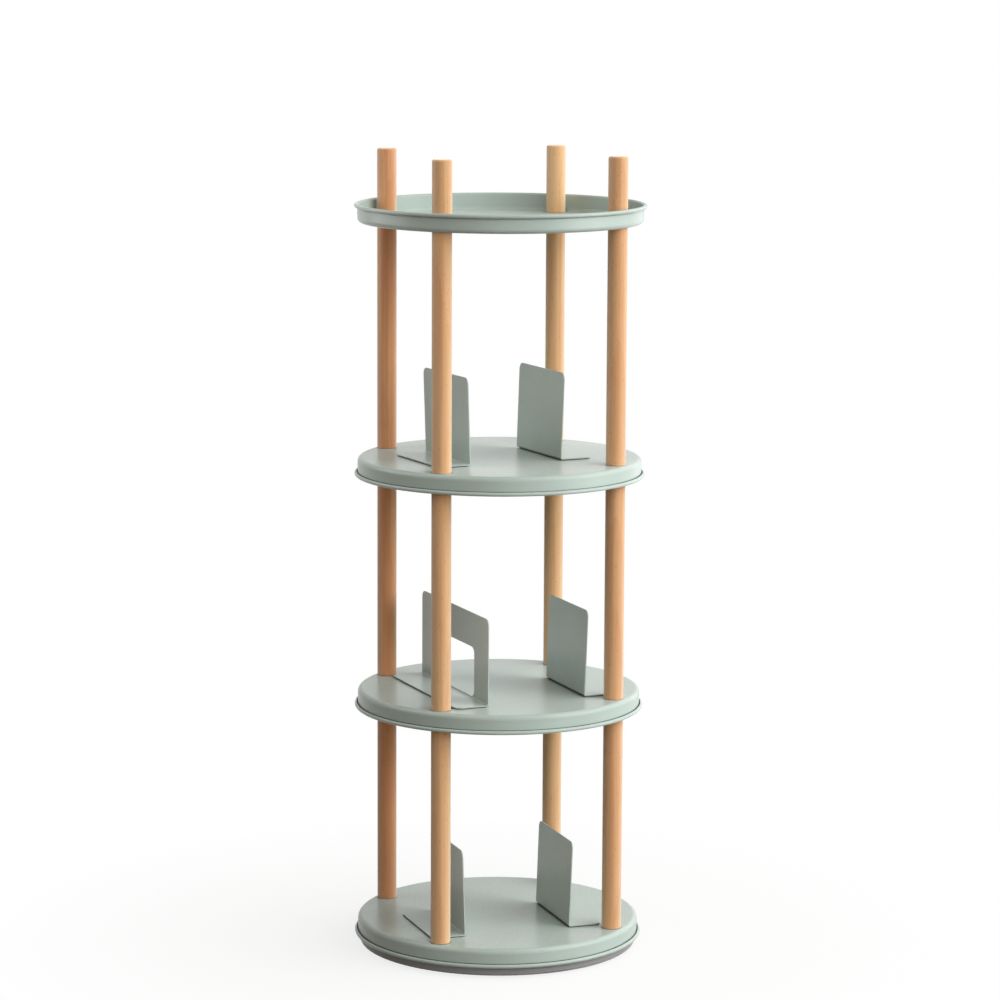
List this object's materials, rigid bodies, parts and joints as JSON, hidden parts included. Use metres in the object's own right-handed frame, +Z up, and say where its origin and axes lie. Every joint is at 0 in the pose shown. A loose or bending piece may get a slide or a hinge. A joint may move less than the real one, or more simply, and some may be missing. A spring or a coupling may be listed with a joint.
{
  "type": "rotating media tower",
  "caption": "Open round rotating tower of pressed-steel shelves and a top tray on beech dowels, with loose steel bookends, turning on a low ball-bearing base.",
  "frame": {"origin": "centre of the footprint, on the floor", "axes": "+Z up along the axis that the tower turns about; -Y is the front, with posts on the diagonals"},
  "size_m": [0.372, 0.372, 1.028],
  "materials": {
    "sage_powder_coat": "fine-textured satin powder coat, grey sage green",
    "grey_powder_coat": "satin powder coat, mid grey",
    "beech": "clear satin lacquer",
    "zinc_steel": "bright zinc plate",
    "aluminium": "turned, clear",
    "brass": "plain",
    "bearing_steel": "polished",
    "white_nylon": "matte",
    "black_rubber": "matte"
  },
  "bodies": {
    "base": {"base_dish": "grey_powder_coat", "base_feet": "black_rubber", "bearing_lower_ring": "aluminium", "lower_ring_screws": "zinc_steel"},
    "ball_ring": {"bearing_balls": "bearing_steel", "ball_cage": "white_nylon"},
    "tower": {"bearing_upper_ring": "aluminium", "upper_ring_studs": "zinc_steel", "upper_ring_nuts": "zinc_steel", "base_bolts": "zinc_steel", "base_washers": "zinc_steel", "middle_shelf_studs": "zinc_steel", "upper_shelf_studs": "zinc_steel", "tray_studs": "zinc_steel", "base_shelf": "sage_powder_coat", "middle_shelf": "sage_powder_coat", "upper_shelf": "sage_powder_coat", "top_tray": "sage_powder_coat", "lower_post_front_left": "beech", "lower_post_front_right": "beech", "lower_post_back_right": "beech", "lower_post_back_left": "beech", "lower_post_inserts": "brass", "middle_post_front_left": "beech", "middle_post_front_right": "beech", "middle_post_back_right": "beech", "middle_post_back_left": "beech", "middle_post_inserts": "brass", "upper_post_front_left": "beech", "upper_post_front_right": "beech", "upper_post_back_right": "beech", "upper_post_back_left": "beech", "upper_post_inserts": "brass", "finial_front_left": "beech", "finial_front_right": "beech", "finial_back_right": "beech", "finial_back_left": "beech", "finial_inserts": "brass"},
    "base_left_bookend": {"base_bookend_left": "sage_powder_coat", "base_bookend_left_pad": "black_rubber"},
    "base_right_bookend": {"base_bookend_right": "sage_powder_coat", "base_bookend_right_pad": "black_rubber"},
    "middle_left_bookend": {"middle_bookend_left": "sage_powder_coat", "middle_bookend_left_pad": "black_rubber"},
    "middle_right_bookend": {"middle_bookend_right": "sage_powder_coat", "middle_bookend_right_pad": "black_rubber"},
    "upper_left_bookend": {"upper_bookend_left": "sage_powder_coat", "upper_bookend_left_pad": "black_rubber"},
    "upper_right_bookend": {"upper_bookend_right": "sage_powder_coat", "upper_bookend_right_pad": "black_rubber"}
  },
  "joints": [
    {"name": "swivel", "type": "hinge", "parent": "base", "child": "tower", "pos_m": [0, 0, 0.031], "axis": [0, 0, 1], "continuous": true},
    {"name": "ball_ring_spin", "type": "hinge", "parent": "base", "child": "ball_ring", "pos_m": [0, 0, 0.031], "axis": [0, 0, 1], "continuous": true},
    {"name": "base_left_bookend_slide", "type": "slide", "parent": "tower", "child": "base_left_bookend", "axis": [-0.9999, -0.0105, 0], "range_m": [-0.067, 0.024]},
    {"name": "base_right_bookend_slide", "type": "slide", "parent": "tower", "child": "base_right_bookend", "axis": [1, 0, 0], "range_m": [-0.067, 0.039]},
    {"name": "middle_left_bookend_slide", "type": "slide", "parent": "tower", "child": "middle_left_bookend", "axis": [-0.9976, -0.0698, 0], "range_m": [-0.066, 0.003]},
    {"name": "middle_right_bookend_slide", "type": "slide", "parent": "tower", "child": "middle_right_bookend", "axis": [0.9988, 0.0489, 0], "range_m": [-0.066, 0.023]},
    {"name": "upper_left_bookend_slide", "type": "slide", "parent": "tower", "child": "upper_left_bookend", "axis": [-0.9903, -0.1392, 0], "range_m": [-0.061, 0.04]},
    {"name": "upper_right_bookend_slide", "type": "slide", "parent": "tower", "child": "upper_right_bookend", "axis": [0.9925, 0.1219, 0], "range_m": [-0.061, 0.04]}
  ],
  "couplings": [
    {"joint": "ball_ring_spin", "follows": "swivel", "ratio": 0.5}
  ]
}
